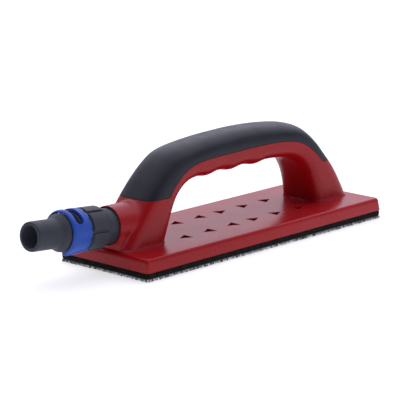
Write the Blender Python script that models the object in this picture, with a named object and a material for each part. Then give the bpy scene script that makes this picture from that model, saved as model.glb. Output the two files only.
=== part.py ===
"""Hand sanding block with a D handle, a soft grip and a swivelling dust connector.

The frame: the origin is the centre of the sanding face, +Z is up, and the connector points to -X.
Sizes below are in millimetres, and new_mesh turns them into metres.
"""

import math

import bmesh
import bpy
from mathutils import Matrix, Vector

MM = 0.001
GAP = 0.3  # between pieces that touch on the real block

# Sole: hook sheet, foam pad and sole plate, from the bottom up
SOLE_LENGTH, SOLE_WIDTH = 232.0, 80.0
HOOK_THICKNESS = 2.3
FOAM_THICKNESS = 2.9
SOLE_PLATE_THICKNESS = 2.0
HOOK_INSET, HOOK_CORNER = 0.5, 2.2
FOAM_INSET, PLATE_CORNER = 0.2, 1.5
FOAM_BOTTOM = HOOK_THICKNESS + GAP
HOUSING_BOTTOM = FOAM_BOTTOM + FOAM_THICKNESS + GAP
DUST_HOLE_RADIUS = 2.5
DUST_HOLE_PITCH = 24.0
DUST_HOLE_SIDES = 8
DUST_HOLE_COLUMNS = 9
DUST_HOLE_ROWS_Y = (-30.0, -10.0, 10.0, 30.0)

# Base housing: a shallow tray, open below, that holds the sole plate and the dust chamber
HOUSING_HEIGHT = 8.8
HOUSING_DRAFT = 1.2
HOUSING_CORNER = 1.6
HOUSING_EDGE = 0.7
HOUSING_TOP = HOUSING_BOTTOM + HOUSING_HEIGHT
SOLE_SEAT_INSET = 2.5
SEAT_CORNER, CHAMBER_CORNER = 1.8, 3.0
LEDGE_WIDTH = 3.0
CHAMBER_FLOOR = HOUSING_BOTTOM + SOLE_PLATE_THICKNESS + GAP
CHAMBER_TOP = HOUSING_TOP - 3.0
TRIANGLE_WIDTH, TRIANGLE_LENGTH, TRIANGLE_DEPTH = 9.0, 8.8, 2.2
TRIANGLE_ROW_Y = 15.2
TRIANGLE_FIRST_X, TRIANGLE_PITCH, TRIANGLES_PER_SIDE = 6.8, 22.8, 3
RIB_WIDTH, RIB_LENGTH, RIB_Y, RIB_X = 1.6, 46.0, 20.0, 48.0

# Duct from the dust chamber up into the front leg
DUCT_X, DUCT_RADIUS, DUCT_TOP = -88.0, 8.0, HOUSING_BOTTOM + 25.0
DUCT_FRAME, DUCT_SIDES = Matrix.Translation((DUCT_X, 0.0, 0.0)), 24
GASKET_INNER, GASKET_OUTER, GASKET_THICKNESS = 9.3, 11.3, 1.0

# Handle feet and screws
FOOT_BOTTOM = HOUSING_TOP + GAP
HANDLE_SCREWS = ((-82.0, -12.6), (-82.0, 12.6), (89.5, -10.5), (89.5, 10.5))
HANDLE_SCREW_LENGTH = 16.0
SOLE_SCREWS = ((-100.0, -20.0), (-100.0, 20.0), (0.0, -20.0), (0.0, 20.0), (100.0, -20.0), (100.0, 20.0))
SOLE_SCREW_LENGTH = 6.0
SCREW_RADIUS, SCREW_HEAD_RADIUS, SCREW_HEAD_HEIGHT, SCREW_SIDES = 1.5, 3.0, 2.0, 16
BOSS_RADIUS = 4.0

# Handle: stations of (outer x, outer z, inner x, inner z, half width), heights above the housing's bottom
HANDLE_STATIONS = (
    (-117.8, 2.0, -75.5, 2.0, 17.9),
    (-112.4, 8.8, -73.5, 8.8, 17.6),
    (-102.8, 21.0, -68.6, 20.0, 17.1),
    (-93.5, 32.8, -63.8, 30.7, 16.8),
    (-87.1, 40.9, -59.4, 37.4, 16.6),
    (-78.8, 50.4, -54.2, 42.0, 16.4),
    (-68.8, 60.0, -48.3, 44.4, 16.1),
    (-60.0, 65.0, -42.6, 45.2, 15.8),
    (-47.8, 67.6, -37.0, 45.6, 15.5),
    (-32.0, 69.3, -29.0, 45.8, 15.2),
    (-16.0, 70.2, -15.0, 45.9, 15.0),
    (0.0, 70.6, 0.0, 45.9, 15.0),
    (16.0, 70.5, 15.0, 45.8, 15.1),
    (33.0, 69.5, 30.0, 45.6, 15.3),
    (50.0, 67.6, 41.0, 45.0, 15.6),
    (61.2, 65.0, 50.0, 43.8, 15.9),
    (70.2, 60.2, 57.0, 41.3, 16.2),
    (79.0, 52.2, 62.2, 37.6, 16.5),
    (87.2, 42.4, 66.4, 32.0, 16.8),
    (95.2, 32.6, 69.6, 25.0, 17.0),
    (101.9, 22.0, 72.0, 16.8, 17.2),
    (108.6, 8.8, 73.6, 8.8, 17.6),
    (111.4, 2.0, 74.6, 2.0, 17.9),
)
RINGS_PER_STATION = 3
RING_POINTS = 28
FOOT_SQUARENESS, GRIP_SQUARENESS, INNER_SQUARENESS = 5.0, 2.6, 3.6  # exponents of the section's superellipse
SQUARE_BELOW, ROUND_ABOVE = 8.8, 60.0
FINGER_BUMPS_X, FINGER_BUMP_DEPTH, FINGER_BUMP_PITCH = (-30.0, -6.5, 17.0), 1.5, 24.0
GRIP_THICKNESS = 2.5
HOLLOW_WALL = 5.6
HOLLOW_FIRST_STATION = 9
BOSS_TOP = HOUSING_BOTTOM + 30.0

# Lower edge of the soft grip, seen from the side, heights above the housing's bottom
GRIP_EDGE = (
    (-130.0, 37.3), (-71.0, 37.2), (-69.4, 38.6), (-67.3, 42.2), (-63.5, 46.3), (-58.9, 50.0), (-53.6, 52.9),
    (-47.0, 55.3), (-35.7, 56.9), (-20.9, 57.4), (-9.5, 57.6), (11.9, 58.0), (33.8, 57.8), (50.4, 56.1),
    (59.5, 53.5), (67.5, 49.2), (74.4, 43.5), (80.0, 38.2), (82.0, 37.2), (130.0, 37.1),
)
GRIP_ABOVE = 100.0

# Connector: s runs outwards along its axis, from the rim of the socket
CONNECTOR_TILT = math.radians(4.6)
SOCKET_RIM = Vector((-113.0, 0.0, HOUSING_BOTTOM + 24.2))
CONNECTOR_FRAME = Matrix.Translation(SOCKET_RIM) @ Matrix((
    (0.0, math.sin(CONNECTOR_TILT), -math.cos(CONNECTOR_TILT)),
    (-1.0, 0.0, 0.0),
    (0.0, math.cos(CONNECTOR_TILT), math.sin(CONNECTOR_TILT)),
)).to_4x4()
CONNECTOR_SEGMENTS = 40
SOCKET_RADIUS, SOCKET_ROOT_RADIUS = 13.0, 15.6
WEB_HALF_WIDTH, WEB_CORNER, WEB_TOP, WEB_REAR, WEB_SETBACK, WEB_LEAN = 12.9, 1.6, 24.0, -80.0, -1.05, 0.08
SOCKET_BORE, SOCKET_LIP, SOCKET_CHAMBER = 11.3, 10.1, 11.2
SOCKET_FACE, SOCKET_MOUTH, SOCKET_MOUTH_DEPTH = -0.6, 12.1, 2.6
LIP_START, LIP_END = -12.5, -13.7
CHAMBER_END, SOCKET_ROOT = -27.0, -31.0
BUSH_START, BUSH_END, BUSH_INNER, BUSH_OUTER = -7.4, -2.9, 10.1, 11.0
O_RING_S, O_RING_RADIUS, O_RING_THICKNESS, O_RING_SIDES = -9.6, 10.56, 0.5, 10
SNAP_START, SNAP_END, SNAP_INNER, SNAP_OUTER, SNAP_ARC = -15.0, -14.1, 9.3, 10.8, (105.0, 435.0)
SNAP_GROOVE_START, SNAP_GROOVE_END, SNAP_GROOVE_RADIUS = -15.3, -13.8, 9.0
NECK_START, NECK_RADIUS, JOURNAL_RADIUS = -2.3, 11.6, 12.2
SPIGOT_INNER_RADIUS, SPIGOT_INNER_END = 9.8, -16.5
COLLAR_START, COLLAR_END = 4.8, 25.0
COLLAR_RADIUS, COLLAR_NECK_RADIUS, COLLAR_GROOVE_DEPTH = 14.3, 12.4, 0.9
COLLAR_PAD_START, COLLAR_PAD_FULL = 7.2, 10.4
COLLAR_LOBES, COLLAR_GROOVE_ANGLE, COLLAR_SEGMENTS = 6, 2.0, 66
RING_START, RING_END, RING_RADIUS = 25.3, 41.2, 14.4
RING_SEGMENTS, SLOT_SEGMENTS, STOP_SEGMENTS = 60, 72, 120
SHOULDER_START, SHOULDER_RADIUS, SHOULDER_END = 41.5, 12.4, 46.6
NOZZLE_RADIUS, SPIGOT_END = 9.6, 66.4
BORE_RADIUS, WIDE_BORE_RADIUS, BORE_TAPER_START = 6.7, 8.6, 58.0
RING_ARC = (-75.0, 200.0)  # degrees round the axis: 0 is -Y, 90 is up
WINDOW_ARC, WINDOW_S = (28.0, 140.0), (31.0, 37.6)
PORT_ARC, PORT_S = (31.0, 79.0), (32.5, 36.1)
STOP_ARC, STOP_HEIGHT, STOP_END = (272.0, 281.0), 1.2, 36.0


def clear_scene():
    for thing in list(bpy.data.objects):
        bpy.data.objects.remove(thing, do_unlink=True)


def material(name, colour, roughness, metallic=0.0):
    made = bpy.data.materials.new(name)
    made.use_nodes = True
    shader = made.node_tree.nodes["Principled BSDF"]
    shader.inputs["Base Color"].default_value = (*colour, 1.0)
    shader.inputs["Roughness"].default_value = roughness
    shader.inputs["Metallic"].default_value = metallic
    made.diffuse_color = (*colour, 1.0)
    return made


def new_mesh(name, points, faces, finish=None, frame=None):
    """An object from points in millimetres, with its normals facing out."""
    data = bpy.data.meshes.new(name)
    placed = [(frame @ Vector(p) if frame else Vector(p)) * MM for p in points]
    data.from_pydata(placed, [], faces)
    shape = bmesh.new()
    shape.from_mesh(data)
    bmesh.ops.recalc_face_normals(shape, faces=shape.faces)
    shape.to_mesh(data)
    shape.free()
    data.shade_smooth()
    data.set_sharp_from_angle(angle=math.radians(40))
    thing = bpy.data.objects.new(name, data)
    bpy.context.scene.collection.objects.link(thing)
    if finish:
        data.materials.append(finish)
    else:
        thing.hide_render = True
        thing.display_type = "WIRE"
    return thing


def boolean(target, other, operation="DIFFERENCE"):
    modifier = target.modifiers.new(f"{operation.lower()} {other.name}", "BOOLEAN")
    modifier.object = other
    modifier.operation = operation
    modifier.solver = "EXACT"


def loft(name, rings, finish=None, frame=None):
    """A closed solid through rings of equal point counts, capped at both ends."""
    count = len(rings[0])
    faces = [tuple(range(count)), tuple(range(len(rings) * count - 1, (len(rings) - 1) * count - 1, -1))]
    for i in range(len(rings) - 1):
        for j in range(count):
            a, b = i * count + j, i * count + (j + 1) % count
            faces.append((a, b, b + count, a + count))
    return new_mesh(name, [p for ring in rings for p in ring], faces, finish, frame)


def rounded_rectangle(length, width, corner, z, corner_points=4):
    """One ring of a rectangle with round corners, centred on the Z axis."""
    ring = []
    for quarter in range(4):
        cx = (length / 2 - corner) * (1 if quarter in (0, 3) else -1)
        cy = (width / 2 - corner) * (1 if quarter in (0, 1) else -1)
        for step in range(corner_points + 1):
            turn = math.pi / 2 * (quarter + step / corner_points)
            ring.append((cx + corner * math.cos(turn), cy + corner * math.sin(turn), z))
    return ring


def sole_slab(name, inset, corner, low, high, finish=None):
    """A flat slab that stands the inset inside the sole's outline all round."""
    length, width = SOLE_LENGTH - 2 * inset, SOLE_WIDTH - 2 * inset
    return loft(name, [rounded_rectangle(length, width, corner, z) for z in (low, high)], finish)


def block(name, low, high):
    ring = ((low[0], low[1]), (high[0], low[1]), (high[0], high[1]), (low[0], high[1]))
    return loft(name, [[(x, y, z) for x, y in ring] for z in (low[2], high[2])])


def circle(radius, z, segments, centre=(0.0, 0.0)):
    turns = [math.tau * i / segments for i in range(segments)]
    return [(centre[0] + radius * math.cos(t), centre[1] + radius * math.sin(t), z) for t in turns]


def turned(name, profile, segments, finish=None, frame=None, centre=(0.0, 0.0)):
    """A solid of revolution without a bore, from (z, radius) pairs."""
    return loft(name, [circle(r, z, segments, centre) for z, r in profile], finish, frame)


def hollow_turned(name, profile, segments, finish=None, frame=None, arc=None, radius_of=None):
    """A closed outline of (z, radius) pairs turned round Z, all the way or through an arc in degrees."""
    whole = arc is None
    start, end = (0.0, 360.0) if whole else arc
    stations = segments if whole else max(2, round(segments * (end - start) / 360)) + 1
    points = []
    for i in range(stations):
        turn = math.radians(start + (end - start) * i / (segments if whole else stations - 1))
        for z, r in profile:
            reach = radius_of(r, turn) if radius_of else r
            points.append((reach * math.cos(turn), reach * math.sin(turn), z))
    count = len(profile)
    faces = []
    for i in range(stations if whole else stations - 1):
        for j in range(count):
            near, far = i * count, (i + 1) % stations * count
            faces.append((near + j, near + (j + 1) % count, far + (j + 1) % count, far + j))
    if not whole:
        faces += [tuple(range(count)), tuple(range(stations * count - 1, (stations - 1) * count - 1, -1))]
    return new_mesh(name, points, faces, finish, frame)


def between(before, start, end, after, t):
    """Catmull-Rom blend of four tuples."""
    return [
        0.5 * (2 * b + (c - a) * t + (2 * a - 5 * b + 4 * c - d) * t * t + (3 * b - a - 3 * c + d) * t ** 3)
        for a, b, c, d in zip(before, start, end, after)
    ]


def smooth_stations(stations, steps):
    smooth = []
    for i in range(len(stations) - 1):
        window = [stations[min(max(k, 0), len(stations) - 1)] for k in range(i - 1, i + 3)]
        smooth += [between(*window, step / steps) for step in range(steps)]
    return smooth + [list(stations[-1])]


def finger_bump(x):
    """How far the grooves' ridges stand down from the underside of the grip at x."""
    depth = 0.0
    for centre in FINGER_BUMPS_X:
        offset = abs(x - centre) / (FINGER_BUMP_PITCH / 2)
        if offset < 1.0:
            depth += FINGER_BUMP_DEPTH * (0.5 + 0.5 * math.cos(math.pi * offset)) ** 1.3
    return depth


def handle_ring(station, inset):
    """One section of the handle: a superellipse, flatter on the side that faces the plate."""
    outer = Vector((station[0], 0.0, station[1] + HOUSING_BOTTOM))
    inner = Vector((station[2], 0.0, station[3] + HOUSING_BOTTOM - finger_bump(station[2])))
    half_width = station[4] - inset
    middle, reach = (outer + inner) / 2, (outer - inner) / 2
    across = reach.normalized()
    half_height = reach.length - inset
    rise = min(max((station[1] - SQUARE_BELOW) / (ROUND_ABOVE - SQUARE_BELOW), 0.0), 1.0)
    outer_squareness = FOOT_SQUARENESS + (GRIP_SQUARENESS - FOOT_SQUARENESS) * rise
    inner_squareness = max(outer_squareness, INNER_SQUARENESS)
    ring = []
    for i in range(RING_POINTS):
        turn = math.tau * (i + 0.5) / RING_POINTS
        power = 2 / (outer_squareness if math.sin(turn) > 0 else inner_squareness)
        y = half_width * math.copysign(abs(math.cos(turn)) ** power, math.cos(turn))
        up = half_height * math.copysign(abs(math.sin(turn)) ** power, math.sin(turn))
        ring.append(middle + across * up + Vector((0.0, y, 0.0)))
    return ring


def handle_loft(name, inset, first_station=0, finish=None):
    stations = smooth_stations(HANDLE_STATIONS, RINGS_PER_STATION)[first_station * RINGS_PER_STATION:]
    return loft(name, [handle_ring(station, inset) for station in stations], finish)


def grip_region(name, clearance):
    """Everything above the grip's lower edge, moved down by the clearance."""
    edge = [(x, z + HOUSING_BOTTOM - clearance) for x, z in GRIP_EDGE]
    outline = edge + [(edge[-1][0], HOUSING_BOTTOM + GRIP_ABOVE), (edge[0][0], HOUSING_BOTTOM + GRIP_ABOVE)]
    return loft(name, [[(x, y, z) for x, z in outline] for y in (-SOLE_WIDTH / 2, SOLE_WIDTH / 2)])


def cylinders(name, places, radius, low, high, segments):
    """One cutter that holds an upright cylinder at each place."""
    points, faces = [], []
    for place in places:
        first = len(points)
        points += circle(radius, low, segments, place) + circle(radius, high, segments, place)
        faces.append(tuple(range(first, first + segments)))
        faces.append(tuple(range(first + 2 * segments - 1, first + segments - 1, -1)))
        for i in range(segments):
            j = (i + 1) % segments
            faces.append((first + i, first + j, first + segments + j, first + segments + i))
    return new_mesh(name, points, faces)


def make_sole(finishes):
    """Hook sheet, foam pad and sole plate, with the dust holes through all three."""
    hook = sole_slab("hook_sheet", HOOK_INSET, HOOK_CORNER, 0.0, HOOK_THICKNESS, finishes["hook"])
    foam = sole_slab("foam_pad", FOAM_INSET, HOUSING_CORNER, FOAM_BOTTOM, FOAM_BOTTOM + FOAM_THICKNESS,
                     finishes["foam"])
    plate = sole_slab("sole_plate", SOLE_SEAT_INSET + GAP, PLATE_CORNER, HOUSING_BOTTOM,
                      HOUSING_BOTTOM + SOLE_PLATE_THICKNESS, finishes["plate"])
    columns = [(i - (DUST_HOLE_COLUMNS - 1) / 2) * DUST_HOLE_PITCH for i in range(DUST_HOLE_COLUMNS)]
    places = [(x, y) for x in columns for y in DUST_HOLE_ROWS_Y]
    holes = cylinders("cut_dust_holes", places, DUST_HOLE_RADIUS, -1.0, CHAMBER_FLOOR, DUST_HOLE_SIDES)
    for layer in (hook, foam, plate):
        boolean(layer, holes)
    heads = cylinders("cut_sole_heads", SOLE_SCREWS, SCREW_HEAD_RADIUS + GAP, HOUSING_BOTTOM - 1.0,
                      HOUSING_BOTTOM + SCREW_HEAD_HEIGHT / 2 + GAP, SCREW_SIDES)
    shanks = cylinders("cut_sole_shanks", SOLE_SCREWS, SCREW_RADIUS + GAP, HOUSING_BOTTOM - 1.0, CHAMBER_FLOOR,
                       SCREW_SIDES)
    boolean(plate, heads)
    boolean(plate, shanks)


def make_screws(finish):
    """Pan-head screws, heads down: six through the sole plate, four up into the handle's feet."""
    for number, place in enumerate(SOLE_SCREWS, 1):
        head_bottom = HOUSING_BOTTOM + GAP / 3
        screw(f"sole_screw_{number}", place, head_bottom, SCREW_HEAD_HEIGHT / 2, SOLE_SCREW_LENGTH, finish)
    for number, place in enumerate(HANDLE_SCREWS, 1):
        head_bottom = CHAMBER_TOP - GAP - SCREW_HEAD_HEIGHT
        screw(f"handle_screw_{number}", place, head_bottom, SCREW_HEAD_HEIGHT, HANDLE_SCREW_LENGTH, finish)


def screw(name, place, head_bottom, head_height, length, finish):
    under_head = head_bottom + head_height
    tip = under_head + length
    profile = [
        (head_bottom, SCREW_HEAD_RADIUS * 0.8), (head_bottom + head_height / 3, SCREW_HEAD_RADIUS),
        (under_head, SCREW_HEAD_RADIUS), (under_head, SCREW_RADIUS), (tip - 1.0, SCREW_RADIUS),
        (tip, SCREW_RADIUS / 3),
    ]
    turned(name, profile, 12, finish, centre=place)


def triangle_cutter():
    """The twelve shallow arrow marks, which point away from the middle in both directions."""
    points, faces = [], []
    for side in (-1, 1):
        for number in range(TRIANGLES_PER_SIDE):
            for row in (-1, 1):
                base = side * (TRIANGLE_FIRST_X + number * TRIANGLE_PITCH)
                tip, y, half = base + side * TRIANGLE_LENGTH, row * TRIANGLE_ROW_Y, TRIANGLE_WIDTH / 2
                outline = ((base, y - half), (tip, y), (base, y + half))
                first = len(points)
                for z in (HOUSING_TOP - TRIANGLE_DEPTH, HOUSING_TOP + 1.0):
                    points += [(px, py, z) for px, py in outline]
                faces += [(first, first + 1, first + 2), (first + 5, first + 4, first + 3)]
                for i in range(3):
                    j = (i + 1) % 3
                    faces.append((first + i, first + j, first + 3 + j, first + 3 + i))
    return new_mesh("cut_triangles", points, faces)


def make_housing(finish):
    """The red tray: drafted sides, a ledge for the sole plate, bosses, ribs and the duct's hole."""
    outline = (
        (0.0, 0.3), (0.4, 0.0), (HOUSING_HEIGHT - 2 * HOUSING_EDGE, HOUSING_DRAFT),
        (HOUSING_HEIGHT - HOUSING_EDGE, HOUSING_DRAFT + 0.25 * HOUSING_EDGE),
        (HOUSING_HEIGHT - 0.3 * HOUSING_EDGE, HOUSING_DRAFT + 0.75 * HOUSING_EDGE),
        (HOUSING_HEIGHT, HOUSING_DRAFT + 1.6 * HOUSING_EDGE),
    )
    rings = [
        rounded_rectangle(SOLE_LENGTH - 2 * inset, SOLE_WIDTH - 2 * inset, HOUSING_CORNER, HOUSING_BOTTOM + z)
        for z, inset in outline
    ]
    tray = loft("base_housing", rings, finish)
    seat = sole_slab("cut_sole_seat", SOLE_SEAT_INSET, SEAT_CORNER, HOUSING_BOTTOM - 1.0, CHAMBER_FLOOR)
    inset = SOLE_SEAT_INSET + LEDGE_WIDTH
    chamber = sole_slab("cut_chamber", inset, CHAMBER_CORNER, CHAMBER_FLOOR - 0.5, CHAMBER_TOP)
    bosses = cylinders("keep_bosses", SOLE_SCREWS, BOSS_RADIUS, CHAMBER_FLOOR - 2.0, CHAMBER_TOP + 1.0,
                       SCREW_SIDES)
    boolean(chamber, bosses)
    for i, (x, y) in enumerate(((x, y) for x in (-RIB_X, RIB_X) for y in (-RIB_Y, RIB_Y)), 1):
        rib = block(f"keep_rib_{i}", (x - RIB_LENGTH / 2, y - RIB_WIDTH / 2, CHAMBER_FLOOR),
                    (x + RIB_LENGTH / 2, y + RIB_WIDTH / 2, CHAMBER_TOP + 1.0))
        boolean(chamber, rib)
    for cutter in (seat, chamber, triangle_cutter()):
        boolean(tray, cutter)
    low, high = CHAMBER_TOP - 1.0, HOUSING_TOP + 1.0
    boolean(tray, cylinders("cut_housing_duct", [(DUCT_X, 0.0)], DUCT_RADIUS, low, high, DUCT_SIDES))
    floor = HOUSING_TOP - GASKET_THICKNESS - GAP
    groove = hollow_turned("cut_gasket_groove", [
        (floor, GASKET_INNER - GAP), (floor, GASKET_OUTER + GAP),
        (high, GASKET_OUTER + GAP), (high, GASKET_INNER - GAP),
    ], DUCT_SIDES, frame=DUCT_FRAME)
    boolean(tray, groove)
    boolean(tray, cylinders("cut_handle_shanks", HANDLE_SCREWS, SCREW_RADIUS + GAP, low, high, SCREW_SIDES))
    pilot_top = HOUSING_BOTTOM + SCREW_HEAD_HEIGHT / 2 + SOLE_SCREW_LENGTH + 2 * GAP
    pilots = cylinders("cut_sole_pilots", SOLE_SCREWS, SCREW_RADIUS + GAP, CHAMBER_FLOOR - 1.0, pilot_top,
                       SCREW_SIDES)
    boolean(tray, pilots)


def make_gasket(finish):
    low, high = HOUSING_TOP - GASKET_THICKNESS, HOUSING_TOP
    outline = [(low, GASKET_INNER), (low, GASKET_OUTER), (high, GASKET_OUTER), (high, GASKET_INNER)]
    hollow_turned("duct_gasket", outline, DUCT_SIDES, finish, frame=DUCT_FRAME)


def socket_web():
    """The root under the socket: a column, with its front almost flush with the socket's face."""
    rings = []
    for height in (0.0, WEB_TOP):
        front = SOCKET_RIM.x + WEB_SETBACK + WEB_LEAN * height
        ring = rounded_rectangle(WEB_REAR - front, 2 * WEB_HALF_WIDTH, WEB_CORNER, HOUSING_BOTTOM + height)
        rings.append([(x + (front + WEB_REAR) / 2, y, z) for x, y, z in ring])
    return loft("add_socket_web", rings)


def make_handle(finish):
    """The red D: a core under the grip, the two legs, and the socket with its bore and duct."""
    body = handle_loft("handle_body", 0.0, finish=finish)
    boolean(body, grip_region("cut_grip_region", GAP))
    boolean(body, handle_loft("add_handle_core", GRIP_THICKNESS + GAP), "UNION")
    barrel = turned("add_socket_barrel", [
        (SOCKET_ROOT, SOCKET_ROOT_RADIUS), (SOCKET_FACE - 0.5, SOCKET_RADIUS),
        (SOCKET_FACE, SOCKET_RADIUS - 0.5),
    ], CONNECTOR_SEGMENTS, frame=CONNECTOR_FRAME)
    boolean(body, barrel, "UNION")
    boolean(body, socket_web(), "UNION")
    bore = turned("cut_socket_bore", [
        (CHAMBER_END - 3.0, SOCKET_CHAMBER * 0.6), (CHAMBER_END, SOCKET_CHAMBER), (LIP_END, SOCKET_CHAMBER),
        (LIP_END, SOCKET_LIP), (LIP_START, SOCKET_LIP), (LIP_START, SOCKET_BORE),
        (-SOCKET_MOUTH_DEPTH, SOCKET_BORE), (-SOCKET_MOUTH_DEPTH, SOCKET_MOUTH), (1.0, SOCKET_MOUTH),
    ], CONNECTOR_SEGMENTS, frame=CONNECTOR_FRAME)
    boolean(body, bore)
    boolean(body, cylinders("cut_handle_duct", [(DUCT_X, 0.0)], DUCT_RADIUS, 0.0, DUCT_TOP, DUCT_SIDES))
    hollow = handle_loft("cut_handle_hollow", HOLLOW_WALL, HOLLOW_FIRST_STATION)
    rear = [place for place in HANDLE_SCREWS if place[0] > 0]
    boolean(hollow, cylinders("keep_screw_bosses", rear, BOSS_RADIUS, 0.0, BOSS_TOP, SCREW_SIDES))
    boolean(body, hollow)
    pilot_top = CHAMBER_TOP - GAP + HANDLE_SCREW_LENGTH + 1.0
    pilots = cylinders("cut_handle_pilots", HANDLE_SCREWS, SCREW_RADIUS + GAP, 0.0, pilot_top, SCREW_SIDES)
    boolean(body, pilots)
    below = block("cut_below_feet", (-SOLE_LENGTH, -SOLE_WIDTH, 0.0), (SOLE_LENGTH, SOLE_WIDTH, FOOT_BOTTOM))
    boolean(body, below)


def make_grip(finish):
    grip = handle_loft("grip_overmould", 0.0, finish=finish)
    boolean(grip, grip_region("keep_grip_region", 0.0), "INTERSECT")
    boolean(grip, handle_loft("cut_grip_inside", GRIP_THICKNESS))


def rectangle(low, high, inner, outer):
    """The outline of a plain ring, as (s, radius) pairs."""
    return [(low, inner), (high, inner), (high, outer), (low, outer)]


def make_socket_fittings(finishes):
    """The bush, which stays in the socket, and the O-ring and snap ring, which turn with the spigot."""
    fit = {"segments": CONNECTOR_SEGMENTS, "frame": CONNECTOR_FRAME}
    bush = rectangle(BUSH_START, BUSH_END, BUSH_INNER, BUSH_OUTER)
    hollow_turned("swivel_bush", bush, finish=finishes["bush"], **fit)
    o_ring = []
    for i in range(O_RING_SIDES):
        turn = math.tau * i / O_RING_SIDES
        along, out = O_RING_THICKNESS * math.cos(turn), O_RING_THICKNESS * math.sin(turn)
        o_ring.append((O_RING_S + along, O_RING_RADIUS + out))
    hollow_turned("socket_o_ring", o_ring, finish=finishes["rubber"], **fit)
    snap = rectangle(SNAP_START, SNAP_END, SNAP_INNER, SNAP_OUTER)
    hollow_turned("retaining_ring", snap, finish=finishes["steel"], arc=SNAP_ARC, **fit)


def make_spigot(finish):
    """The tube: inner end in the socket, neck, journal for the regulator ring, sloped shoulder and nozzle."""
    inner_end = [
        (SPIGOT_INNER_END, WIDE_BORE_RADIUS), (SPIGOT_INNER_END, SPIGOT_INNER_RADIUS - 0.4),
        (SPIGOT_INNER_END + 0.4, SPIGOT_INNER_RADIUS), (SNAP_GROOVE_START, SPIGOT_INNER_RADIUS),
        (SNAP_GROOVE_START, SNAP_GROOVE_RADIUS), (SNAP_GROOVE_END, SNAP_GROOVE_RADIUS),
        (SNAP_GROOVE_END, SPIGOT_INNER_RADIUS), (NECK_START, SPIGOT_INNER_RADIUS),
    ]
    middle = [
        (NECK_START, NECK_RADIUS), (RING_START - GAP, NECK_RADIUS), (RING_START - GAP, JOURNAL_RADIUS),
        (SHOULDER_START, JOURNAL_RADIUS), (SHOULDER_START + 0.2, SHOULDER_RADIUS),
        (SHOULDER_START + 0.7, SHOULDER_RADIUS - 0.2), (SHOULDER_END - 0.4, NOZZLE_RADIUS + 0.3),
        (SHOULDER_END + 0.4, NOZZLE_RADIUS + 0.05), (SHOULDER_END + 1.4, NOZZLE_RADIUS),
    ]
    tip = [
        (SPIGOT_END - 1.2, NOZZLE_RADIUS), (SPIGOT_END - 0.3, NOZZLE_RADIUS - 0.35),
        (SPIGOT_END, NOZZLE_RADIUS - 0.9),
        (SPIGOT_END, BORE_RADIUS + 0.4), (SPIGOT_END - 0.4, BORE_RADIUS), (BORE_TAPER_START, BORE_RADIUS + 0.2),
        (SHOULDER_START, WIDE_BORE_RADIUS),
    ]
    tube = hollow_turned("hose_spigot", inner_end + middle + tip, CONNECTOR_SEGMENTS, finish, CONNECTOR_FRAME)
    stop = rectangle(RING_START + GAP, STOP_END, JOURNAL_RADIUS - 1.0, JOURNAL_RADIUS + STOP_HEIGHT)
    rib = hollow_turned("add_stop_rib", stop, STOP_SEGMENTS, frame=CONNECTOR_FRAME, arc=STOP_ARC)
    boolean(tube, rib, "UNION")
    port = rectangle(*PORT_S, WIDE_BORE_RADIUS - 2.0, JOURNAL_RADIUS + 1.0)
    boolean(tube, hollow_turned("cut_port", port, SLOT_SEGMENTS, frame=CONNECTOR_FRAME, arc=PORT_ARC))


def collar_reach(radius, turn):
    """Pulls the collar's outer skin in along the narrow grooves between its pads."""
    if radius < COLLAR_NECK_RADIUS + 0.1:
        return radius
    phase = (turn * COLLAR_LOBES / math.tau) % 1.0
    return max(radius - COLLAR_GROOVE_DEPTH, COLLAR_NECK_RADIUS) if phase < 0.01 else radius


def make_collar(finish):
    bore = NECK_RADIUS + GAP
    outline = [
        (COLLAR_START, bore), (COLLAR_START + 0.2, COLLAR_NECK_RADIUS), (COLLAR_PAD_START, COLLAR_NECK_RADIUS),
        (COLLAR_PAD_FULL, COLLAR_RADIUS), (COLLAR_END - 0.8, COLLAR_RADIUS), (COLLAR_END, COLLAR_RADIUS - 0.5),
        (COLLAR_END, bore),
    ]
    turned_frame = CONNECTOR_FRAME @ Matrix.Rotation(math.radians(COLLAR_GROOVE_ANGLE), 4, "Z")
    hollow_turned("swivel_collar", outline, COLLAR_SEGMENTS, finish, turned_frame, radius_of=collar_reach)


def make_regulator_ring(finish):
    """The blue C ring with its air window."""
    inner = JOURNAL_RADIUS + GAP
    ring = hollow_turned("regulator_ring", [
        (RING_START, inner), (RING_START, RING_RADIUS - 0.4), (RING_START + 0.5, RING_RADIUS),
        (RING_END - 2.8, RING_RADIUS), (RING_END - 1.0, RING_RADIUS - 0.5), (RING_END, RING_RADIUS - 1.4),
        (RING_END, inner + 0.5), (RING_END - 1.0, inner),
    ], RING_SEGMENTS, finish, CONNECTOR_FRAME, arc=RING_ARC)
    window = rectangle(*WINDOW_S, inner - 1.0, RING_RADIUS + 1.0)
    boolean(ring, hollow_turned("cut_window", window, SLOT_SEGMENTS, frame=CONNECTOR_FRAME, arc=WINDOW_ARC))


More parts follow.
